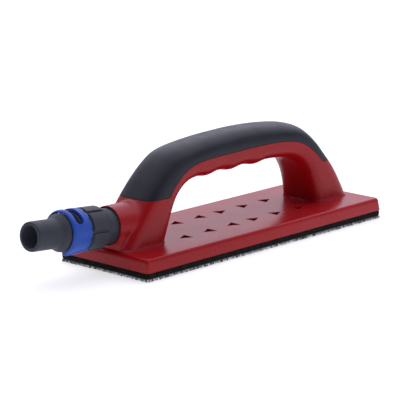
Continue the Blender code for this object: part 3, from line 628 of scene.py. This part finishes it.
def make_pile():
    """The rows of hooks under the backing, and the thicker ones that splay out along its rim."""
    draw = random.Random(11)
    points, faces, shades = [], [], []
    half_x, half_y = SOLE_LENGTH / 2 - SHEET_INSET, SOLE_WIDTH / 2 - SHEET_INSET
    pitch = HOOK_ROW_PITCH if FINE else 2 * HOOK_ROW_PITCH
    across, along = int((2 * half_y - HOOK_MARGIN) / pitch), int((2 * half_x - HOOK_MARGIN) / pitch)
    for row in range(across + 1):
        for column in range(along + 1):
            px = (column - along / 2) * pitch + draw.uniform(-HOOK_STRAY, HOOK_STRAY)
            py = (row - across / 2) * pitch + draw.uniform(-HOOK_STRAY, HOOK_STRAY)
            near = min(abs(px - x) for x in DUST_HOLE_COLUMNS_X), min(abs(py - y) for y in DUST_HOLE_ROWS_Y)
            if math.hypot(*near) < DUST_HOLE_RADIUS + HOLE_MARGIN:
                continue
            lean = draw.choice((0.0, math.pi)) + draw.uniform(-0.5, 0.5)
            out = Vector((math.cos(lean), math.sin(lean), 0))
            path = hook_path(out, draw.uniform(0.92, 1.0) * HOOK_DROP, HOOK_BEND)
            made = strand(points, faces, Vector((px, py, BACKING_LOW)), path, HOOK_RADIUS)
            shades += [draw.random() < 0.6] * made
    step = RIM_PITCH if FINE else 2 * RIM_PITCH
    ends, flanks = [(half_x, 1), (-half_x, 1)], [(half_y, 0), (-half_y, 0)]
    for reach, axis in ends + flanks:
        length = 2 * half_y if axis == 1 else 2 * half_x
        sign = math.copysign(1.0, reach)
        out = Vector((sign, 0, 0)) if axis == 1 else Vector((0, sign, 0))
        slide = Vector((0, 1, 0)) if axis == 1 else Vector((1, 0, 0))
        for row in range(RIM_ROWS):
            for i in range(int(length / step)):
                place = -length / 2 + (i + draw.random()) * step
                edge = reach - sign * (RIM_INSET + RIM_ROW_STEP * row + draw.uniform(0.0, HOOK_STRAY))
                root = (edge, place) if axis == 1 else (place, edge)
                splay = out * draw.uniform(0.3, 1.0) * (1.0 - 0.3 * row) + slide * draw.uniform(-0.5, 0.5)
                path = hook_path(splay, draw.uniform(0.86, 1.0) * HOOK_DROP, draw.uniform(0.6, 1.0))
                thick = draw.uniform(0.2, 0.34) - 0.03 * row
                made = strand(points, faces, Vector((*root, BACKING_LOW)), path, thick)
                shades += [draw.random() < 0.5 - 0.15 * row] * made
    pile = new_piece("hook_pile", points, faces, 60.0)
    pile.data.polygons.foreach_set("material_index", np.array(shades, np.int32))
    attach(pile, "block")
    return pile


# ---------------------------------------------------------------- dust connector
def make_spigot():
    """The black tube from the snap ring's groove to the nozzle, with its bore and the air port."""
    segments = 128 if FINE else 64
    profile = [
        (-16.5, 8.6), (-16.5, 9.4), (-16.1, 9.8), (-15.3, 9.8), (-15.3, 9.0), (-13.8, 9.0), (-13.8, 9.8),
        (-2.3, 9.8), (-2.3, NECK_RADIUS), (RING_START - GAP, NECK_RADIUS), (RING_START - GAP, JOURNAL_RADIUS),
        (SHOULDER_START, JOURNAL_RADIUS - 0.6), (41.5, 12.1), (41.6, 12.22), (41.8, 12.3), (42.05, 12.24),
        (42.6, 12.02), (43.4, 11.6), (44.2, 11.15), (45.0, 10.68), (45.7, 10.25), (46.2, 9.96), (46.6, 9.8),
        (47.1, 9.68), (47.8, 9.62), (49.0, NOZZLE_RADIUS), (56.0, NOZZLE_RADIUS), (64.6, NOZZLE_RADIUS),
        (65.2, 9.55), (65.7, 9.44), (66.05, 9.27), (66.28, 9.05), (66.38, 8.85), (SPIGOT_END, 8.6),
        (SPIGOT_END, 7.7), (66.33, 7.45), (66.1, 7.25), (65.7, 7.12), (58.0, 7.0),
        (SHOULDER_START, WIDE_BORE_RADIUS),
    ]
    tube = swept("spigot", profile, whole_turn(segments), on_axis, place=CONNECTOR_FRAME, angle=30.0)
    stop = swept("stop", [(RING_START + GAP, 11.2), (36.0, 11.2), (36.0, 13.4), (RING_START + GAP, 13.4)],
                 arc_turn((272.0, 281.0), 4), on_axis, closed=False, place=CONNECTOR_FRAME)
    cut(tube, stop, "UNION")
    cut(tube, slot_cutter("port", PORT_ARC, PORT_S, 6.6, 13.2, RING_RADIUS))
    soften(tube.data, 32.0)
    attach(tube, "connector")
    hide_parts("hose_spigot")
    return tube


def slot_cutter(name, arc, span, inner, outer, end_radius):
    """A slot bent round the axis, with ends that are round at end_radius."""
    middle, half = (span[0] + span[1]) / 2, (span[1] - span[0]) / 2
    end_arc = math.degrees(half / end_radius)
    points, turns = [], []
    steps, side_steps, least_width = 8, 30, 0.12
    for i in range(steps + 1):
        t = math.pi / 2 * i / steps
        turns.append((arc[0] + end_arc * (1 - math.cos(t)), max(half * math.sin(t), least_width)))
    straight = arc[1] - arc[0] - 2 * end_arc
    sides = [(arc[0] + end_arc + straight * i / side_steps, half) for i in range(1, side_steps)]
    turns = turns + sides + [(arc[0] + arc[1] - a, w) for a, w in reversed(turns)]
    for angle, wide in turns:
        turn = math.radians(angle)
        for s, r in ((-wide, inner), (wide, inner), (wide, outer), (-wide, outer)):
            points.append(on_axis(middle + s, r, turn))
    faces = [(0, 1, 2, 3), tuple(range(len(points) - 1, len(points) - 5, -1))]
    for i in range(len(turns) - 1):
        for j in range(4):
            a, b = 4 * i + j, 4 * i + (j + 1) % 4
            faces.append((a, b, b + 4, a + 4))
    return new_piece(name, points, faces, 35.0, CONNECTOR_FRAME)


def step_up(x, low, high):
    """Rises smoothly from 0 at low to 1 at high."""
    t = min(max((x - low) / (high - low), 0.0), 1.0)
    return t * t * (3 - 2 * t)


def collar_radius(s, turn):
    """Raised pads on a sleeve: grooves between them, a sloped end at the socket, a drop at the ring."""
    pitch = 360.0 / COLLAR_LOBES
    phase = (math.degrees(turn) - COLLAR_GROOVE_ANGLE) % pitch
    off = min(phase, pitch - phase)
    pad = step_up(off, GROOVE_HALF_ANGLE * 0.5, GROOVE_HALF_ANGLE)
    crown = PAD_CROWN * (1 - (1 - off / (pitch / 2)) ** 2)
    slope = min(max((s - COLLAR_PAD_START) / (COLLAR_PAD_FULL - COLLAR_PAD_START), 0.0), 1.0)
    full = GROOVE_RADIUS + (COLLAR_RADIUS - PAD_CROWN + crown - GROOVE_RADIUS) * pad
    front = 1 - step_up(COLLAR_END - s, 1.0, 1.9)
    rear = 1 - step_up(s - COLLAR_START, 0.0, 0.5)
    drop = COLLAR_REAR_DROP * rear + (full - COLLAR_FRONT_RADIUS) * front
    return COLLAR_NECK_RADIUS + (full - COLLAR_NECK_RADIUS) * slope - drop


def make_collar():
    """The black collar with its raised pads; its rows of points crowd where the shape bends."""
    pitch = 360.0 / COLLAR_LOBES
    near = [0.0, 1.2, 2.3, 2.7, 3.1, 3.5, 3.9, 4.3, 4.6, 5.2]
    wide = [6.0 + i * (pitch - 12.0) / 12 for i in range(13)]
    steps = near + wide + [pitch - d for d in reversed(near[1:])]
    starts = [COLLAR_GROOVE_ANGLE + lobe * pitch for lobe in range(COLLAR_LOBES)]
    turns = [math.radians(start + d) for start in starts for d in steps]
    bore = NECK_RADIUS + GAP
    levels = [
        COLLAR_START, 4.9, 5.05, 5.3, 6.4, COLLAR_PAD_START - 0.12, COLLAR_PAD_START + 0.12, 8.0, 9.0, 9.8,
        COLLAR_PAD_FULL - 0.12, COLLAR_PAD_FULL + 0.12, 12.0, 16.0, 20.0, 22.6, 23.1, 23.3, 23.5, 23.7, 23.9,
        24.1, COLLAR_END,
    ]
    profile = [(COLLAR_START, bore)] + [(s, None) for s in levels] + [(COLLAR_END, bore)]

    def place(s, r, turn):
        return on_axis(s, collar_radius(s, turn) if r is None else r, turn)

    collar = swept("collar", profile, turns, place, place=CONNECTOR_FRAME, angle=24.0)
    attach(collar, "connector")
    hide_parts("swivel_collar")
    return collar


def make_ring():
    """The blue C ring: scalloped at its rear edge, cut obliquely below, a raised lip at both ends."""
    inner = JOURNAL_RADIUS + GAP
    levels = [0.0, 0.02, 0.05, 0.1, 0.2, 0.3, 0.4, 0.5, 0.6, 0.7, 0.8]
    levels += [0.83, 0.87, 0.9, 0.93, 0.96, 0.985, 1.0]
    points, faces = [], []

    def low_angle(v):
        return RING_LOW_REAR + (RING_LOW_FRONT - RING_LOW_REAR) * v

    def rounding(depth, inward):
        return depth * (1 - math.sqrt(max(1 - (1 - min(inward, 1.0)) ** 2, 0)))

    def reach(angle, v):
        rear, front = rounding(REAR_ROUNDING, v / REAR_SHARE), rounding(FRONT_ROUNDING, (1 - v) / FRONT_SHARE)
        past_low = (angle - low_angle(v)) * math.pi / 180 * RING_RADIUS
        lip = LOW_LIP * (1 - step_up(past_low, LIP_FLAT, LOW_LIP_END))
        past_high = (RING_HIGH - angle) * math.pi / 180 * RING_RADIUS
        lip += HIGH_LIP * (1 - step_up(past_high, LIP_FLAT, HIGH_LIP_END))
        return max(RING_RADIUS - rear - front + lip, inner + RING_LEAST_WALL if v == 1.0 else 0.0)

    for i in range(RING_STEPS + 1):
        u = i / RING_STEPS
        for outside in (False, True):
            for v in levels if outside else reversed(levels):
                angle = low_angle(v) + (RING_HIGH - low_angle(v)) * u
                wave = 0.5 - 0.5 * math.cos(math.radians(angle) * 360 / SCALLOP_DEGREES)
                scallop = SCALLOP_DEPTH * wave ** 3
                start = RING_START + scallop * max(1 - v / 0.25, 0)
                s = start + (RING_END - RING_START) * v
                r = reach(angle, v) if outside else inner + RING_FLARE * step_up(v, 0.93, 1.0)
                points.append(on_axis(s, r, math.radians(angle)))
    count = 2 * len(levels)
    for i in range(RING_STEPS):
        for j in range(count):
            a, b = i * count + j, i * count + (j + 1) % count
            faces.append((a, b, b + count, a + count))
    half = len(levels)
    for first, flip in ((0, False), (RING_STEPS * count, True)):
        for k in range(half - 1):
            a, b = first + k, first + k + 1
            c, d = first + count - 2 - k, first + count - 1 - k
            faces.append((a, b, c, d) if flip else (d, c, b, a))
    ring = new_piece("air_ring", points, faces, 35.0, CONNECTOR_FRAME)
    low, high = inner - 1.5, RING_RADIUS + 2.5
    cut(ring, slot_cutter("window", WINDOW_ARC, WINDOW_S, low, high, (low + high) / 2))
    soften(ring.data, 35.0)
    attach(ring, "regulator")
    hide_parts("regulator_ring")
    return ring


# ---------------------------------------------------------------- materials
def srgb(*levels):
    """Linear colour from 0-255 display levels."""
    shares = [v / 255 for v in levels]
    return tuple(v / 12.92 if v <= 0.04045 else ((v + 0.055) / 1.055) ** 2.4 for v in shares)


class Nodes:
    """Short names for building one material's node tree."""

    def __init__(self, name, colour):
        self.material = bpy.data.materials.new(name)
        self.material.use_nodes = True
        self.material.diffuse_color = (*colour, 1.0)
        self.tree = self.material.node_tree
        self.shader = self.tree.nodes["Principled BSDF"]
        self.shader.inputs["Base Color"].default_value = (*colour, 1.0)
        self.coordinates = self.tree.nodes.new("ShaderNodeTexCoord").outputs["Object"]

    def add(self, kind, inputs=None, **settings):
        node = self.tree.nodes.new(kind)
        for key, value in settings.items():
            setattr(node, key, value)
        for key, value in (inputs or {}).items():
            self.put(node.inputs[key], value)
        return node

    def put(self, socket, value):
        if isinstance(value, bpy.types.NodeSocket):
            self.tree.links.new(value, socket)
        else:
            socket.default_value = value

    def noise(self, scale, detail=3.0, roughness=0.5):
        node = self.add("ShaderNodeTexNoise", {
            "Vector": self.coordinates, "Scale": scale, "Detail": detail, "Roughness": roughness,
        })
        return node.outputs["Fac"]

    def cells(self, scale, feature="F1"):
        node = self.add("ShaderNodeTexVoronoi", {"Vector": self.coordinates, "Scale": scale}, feature=feature)
        return node.outputs["Distance"]

    def ribs(self, scale, distortion, across):
        node = self.add("ShaderNodeTexWave", {
            "Vector": self.coordinates, "Scale": scale, "Distortion": distortion,
        }, bands_direction=across)
        return node.outputs["Fac"]

    def spread(self, value, low, high, to_low=0.0, to_high=1.0):
        node = self.add("ShaderNodeMapRange", {
            "Value": value, "From Min": low, "From Max": high, "To Min": to_low, "To Max": to_high,
        })
        return node.outputs["Result"]

    def mix(self, share, first, second):
        node = self.add("ShaderNodeMix", data_type="RGBA")
        self.put(node.inputs["Factor"], share)
        self.put(node.inputs["A"], (*first, 1.0) if isinstance(first, tuple) else first)
        self.put(node.inputs["B"], (*second, 1.0) if isinstance(second, tuple) else second)
        return node.outputs["Result"]

    def sum(self, first, second):
        return self.add("ShaderNodeMath", {0: first, 1: second}, operation="ADD").outputs[0]

    def times(self, first, second):
        return self.add("ShaderNodeMath", {0: first, 1: second}, operation="MULTIPLY").outputs[0]

    def bump(self, height, depth, strength=1.0, under=None):
        inputs = {"Height": height, "Distance": depth * MM, "Strength": strength}
        if under is not None:
            inputs["Normal"] = under
        return self.add("ShaderNodeBump", inputs).outputs["Normal"]

    def finish(self, **sockets):
        for key, value in sockets.items():
            self.put(self.shader.inputs[key.replace("_", " ")], value)
        return self.material


def red_plastic():
    """Moulded ABS: slight flow shading, a fine spark-eroded grain and a few paler rubbed patches."""
    n = Nodes("red_plastic", srgb(149, 9, 17))
    flow = n.spread(n.noise(14.0, 4.0), 0.35, 0.65)
    base = n.mix(flow, srgb(144, 8, 15), srgb(155, 11, 20))
    scuffs = n.spread(n.noise(30.0, 3.0, 0.5), 0.55, 0.8)
    base = n.mix(n.times(scuffs, 0.12), base, srgb(182, 62, 68))
    rough = n.spread(n.noise(60.0, 5.0, 0.6), 0.3, 0.7, 0.26, 0.31)
    normal = n.bump(n.noise(1500.0, 2.0), 0.008, 0.2, n.bump(n.noise(90.0, 2.0), 0.04, 0.05))
    return n.finish(Base_Color=base, Roughness=rough, Normal=normal, IOR=1.3)


def soft_grip():
    """Matt thermoplastic rubber with a fine pebbled grain."""
    n = Nodes("soft_grip", srgb(24, 27, 34))
    patches = n.spread(n.noise(30.0, 4.0), 0.35, 0.65)
    base = n.mix(patches, srgb(22, 25, 32), srgb(27, 30, 38))
    dust = n.spread(n.noise(420.0, 3.0, 0.65), 0.62, 0.8)
    base = n.mix(n.times(dust, 0.15), base, srgb(80, 82, 90))
    rough = n.spread(n.noise(120.0, 4.0), 0.3, 0.7, 0.36, 0.46)
    pebbles = n.cells(1800.0, "SMOOTH_F1")
    normal = n.bump(pebbles, 0.05, 0.4, n.bump(n.noise(220.0, 3.0), 0.05, 0.2))
    return n.finish(
        Base_Color=base, Roughness=rough, Normal=normal, IOR=1.31, Sheen_Weight=0.1, Sheen_Roughness=0.4,
        Sheen_Tint=(*srgb(150, 158, 190), 1.0),
    )


def moulded(name, colour, low, high, grain_depth=0.03, painted_glow=0.0):
    """Moulded plastic or rubber: cloudy colour, sharp edges paled as a painted highlight, roughness from low
    to high, fine grain, and an optional painted glow in its own colour.
    """
    n = Nodes(name, colour)
    darker, paler = tuple(c * 0.88 for c in colour), tuple(c * 1.12 for c in colour)
    base = n.mix(n.spread(n.noise(40.0, 4.0), 0.35, 0.65), darker, paler)
    # Painted highlight: sharp edges, found by pointiness, are mixed towards a much paler colour as if they
    # caught the light.
    edge = n.spread(n.add("ShaderNodeNewGeometry").outputs["Pointiness"], 0.54, 0.62)
    base = n.mix(n.times(edge, 0.25), base, tuple(min(c * 2.4 + 0.02, 1.0) for c in colour))
    rough = n.spread(n.noise(90.0, 5.0, 0.6), 0.3, 0.7, low, high)
    normal = n.bump(n.noise(1400.0, 2.0), grain_depth, 0.4, n.bump(n.noise(160.0, 2.0), 0.08, 0.12))
    # Painted glow: the surface emits light in its own colour, at the given strength, to lift its dark parts.
    return n.finish(Base_Color=base, Roughness=rough, Normal=normal, IOR=1.3,
                    Emission_Color=(*colour, 1.0), Emission_Strength=painted_glow)


def foam_rubber():
    """Closed-cell foam: near black, with small open cells where it was cut."""
    n = Nodes("foam", srgb(26, 26, 28))
    cells = n.cells(1300.0)
    base = n.mix(n.spread(cells, 0.0, 0.5), srgb(30, 31, 33), srgb(14, 14, 16))
    base = n.mix(n.times(n.spread(n.noise(300.0, 4.0), 0.45, 0.7), 0.35), base, srgb(48, 49, 50))
    normal = n.bump(n.sum(cells, n.noise(700.0, 3.0)), 0.25, 0.8)
    return n.finish(Base_Color=base, Roughness=0.9, Normal=normal, IOR=1.2)


def backing_weave():
    """Knitted backing: crossing ribs of dark yarn."""
    n = Nodes("hook_backing", srgb(36, 36, 38))
    knit = n.times(n.ribs(380.0, 1.5, "X"), n.ribs(380.0, 1.5, "Y"))
    base = n.mix(knit, srgb(24, 24, 26), srgb(58, 58, 60))
    base = n.mix(n.times(n.spread(n.noise(900.0, 3.0), 0.5, 0.8), 0.5), base, srgb(110, 110, 112))
    return n.finish(Base_Color=base, Roughness=0.85, Normal=n.bump(knit, 0.25, 0.8), Sheen_Weight=0.2)


def nylon(name, low, high, roughness):
    """Hook strands: drawn nylon that varies along its length."""
    n = Nodes(name, high)
    base = n.mix(n.spread(n.noise(260.0, 2.0), 0.35, 0.65), low, high)
    rough = n.spread(n.noise(500.0), 0.3, 0.7, roughness - 0.1, roughness + 0.1)
    return n.finish(Base_Color=base, Roughness=rough)


def metal(name, colour, roughness):
    """Zinc-plated steel: fine streaks and duller patches."""
    n = Nodes(name, colour)
    streaks = n.noise(900.0, 3.0, 0.6)
    base = n.mix(n.spread(n.noise(300.0), 0.3, 0.7), tuple(c * 0.8 for c in colour), colour)
    rough = n.spread(streaks, 0.3, 0.7, roughness - 0.08, roughness + 0.12)
    return n.finish(Base_Color=base, Roughness=rough, Metallic=1.0, Normal=n.bump(streaks, 0.02, 0.3))


def dress(obj, *materials):
    obj.data.materials.clear()
    for made in materials:
        obj.data.materials.append(made)


def dress_node(node, made):
    if not node.material_slots:
        node.data.materials.append(made)
    for slot in node.material_slots:
        slot.material = made


# ---------------------------------------------------------------- camera, light and floor
def make_camera():
    data = bpy.data.cameras.new("camera")
    data.lens, data.sensor_width = CAMERA_LENS, 36.0
    data.clip_start, data.clip_end = 0.05, 50.0
    camera = bpy.data.objects.new("camera", data)
    bpy.context.scene.collection.objects.link(camera)
    camera.rotation_mode = "QUATERNION"
    camera.location = CAMERA_PLACE
    camera.rotation_quaternion = CAMERA_VIEW.to_track_quat("-Z", "Y") @ Quaternion((0, 0, 1), -CAMERA_ROLL)
    bpy.context.scene.camera = camera


def make_studio():
    """A pale paper floor, and a world that lights it evenly with a few soft patches."""
    corners = [(-FLOOR_REACH, -FLOOR_REACH, 0), (FLOOR_REACH, -FLOOR_REACH, 0),
               (FLOOR_REACH, FLOOR_REACH, 0), (-FLOOR_REACH, FLOOR_REACH, 0)]
    floor = new_piece("floor", corners, [(0, 1, 2, 3)])
    n = Nodes("floor_paper", (0.9, 0.9, 0.9))
    paper = n.mix(n.spread(n.noise(2.0), 0.3, 0.7), (0.61, 0.61, 0.61), (0.63, 0.63, 0.63))
    n.finish(Base_Color=paper, Roughness=0.95, Specular_IOR_Level=0.1,
             Emission_Color=(1.0, 1.0, 1.0, 1.0), Emission_Strength=0.56)
    floor.data.materials.append(n.material)
    world = bpy.data.worlds.new("studio")
    bpy.context.scene.world = world
    world.use_nodes = True
    tree = world.node_tree
    direction = tree.nodes.new("ShaderNodeTexCoord").outputs["Generated"]

    def patch(aim, low, high, power):
        towards = tree.nodes.new("ShaderNodeVectorMath")
        towards.operation = "DOT_PRODUCT"
        tree.links.new(direction, towards.inputs[0])
        towards.inputs[1].default_value = Vector(aim).normalized()
        node = tree.nodes.new("ShaderNodeMapRange")
        node.interpolation_type = "SMOOTHSTEP"
        tree.links.new(towards.outputs["Value"], node.inputs["Value"])
        node.inputs["From Min"].default_value, node.inputs["From Max"].default_value = low, high
        node.inputs["To Min"].default_value, node.inputs["To Max"].default_value = 0.0, power
        return node.outputs["Result"]

    light = None
    for settings in LIGHT_PATCHES:
        node = tree.nodes.new("ShaderNodeMath")
        tree.links.new(patch(*settings), node.inputs[0])
        if light is None:
            node.inputs[1].default_value = AMBIENT_LIGHT
        else:
            tree.links.new(light, node.inputs[1])
        light = node.outputs[0]
    background = tree.nodes["Background"]
    tree.links.new(light, background.inputs["Strength"])
    background.inputs["Color"].default_value = LIGHT_COLOUR
    bpy.context.scene.view_settings.view_transform = "Standard"


def main():
    make_camera()
    make_studio()
    red, grip_finish = red_plastic(), soft_grip()
    # The black plastic is given a painted glow: it emits a little light in its own colour.
    black = moulded("black_plastic", srgb(46, 49, 57), 0.46, 0.58, painted_glow=0.2)
    blue = moulded("blue_plastic", srgb(34, 70, 156), 0.3, 0.42, 0.015)
    body, grip = make_handle()
    dress(body, red)
    dress(grip, grip_finish)
    dress(make_housing(), red)
    dress(make_foam(), foam_rubber())
    backing = make_backing()
    dress(backing, backing_weave())
    pile = make_pile()
    index = np.zeros(len(pile.data.polygons), np.int32)
    pile.data.polygons.foreach_get("material_index", index)
    dress(pile, nylon("nylon_dark", srgb(20, 20, 22), srgb(58, 60, 60), 0.5),
          nylon("nylon_light", srgb(190, 192, 190), srgb(240, 240, 238), 0.45))
    pile.data.polygons.foreach_set("material_index", index)
    dress(make_spigot(), black)
    dress(make_collar(), black)
    dress(make_ring(), blue)
    rubber = moulded("black_rubber", srgb(24, 24, 25), 0.6, 0.75)
    grey = moulded("grey_plastic", srgb(92, 93, 96), 0.42, 0.55)
    acetal = moulded("acetal", srgb(222, 221, 214), 0.3, 0.4, 0.01)
    zinc = metal("zinc_steel", (0.62, 0.62, 0.6), 0.3)
    finishes = {"sole_plate": grey, "duct_gasket": rubber, "swivel_bush": acetal, "socket_o_ring": rubber}
    for name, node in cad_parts.items():
        if not node.hide_render:
            dress_node(node, finishes.get(name, zinc))


main()
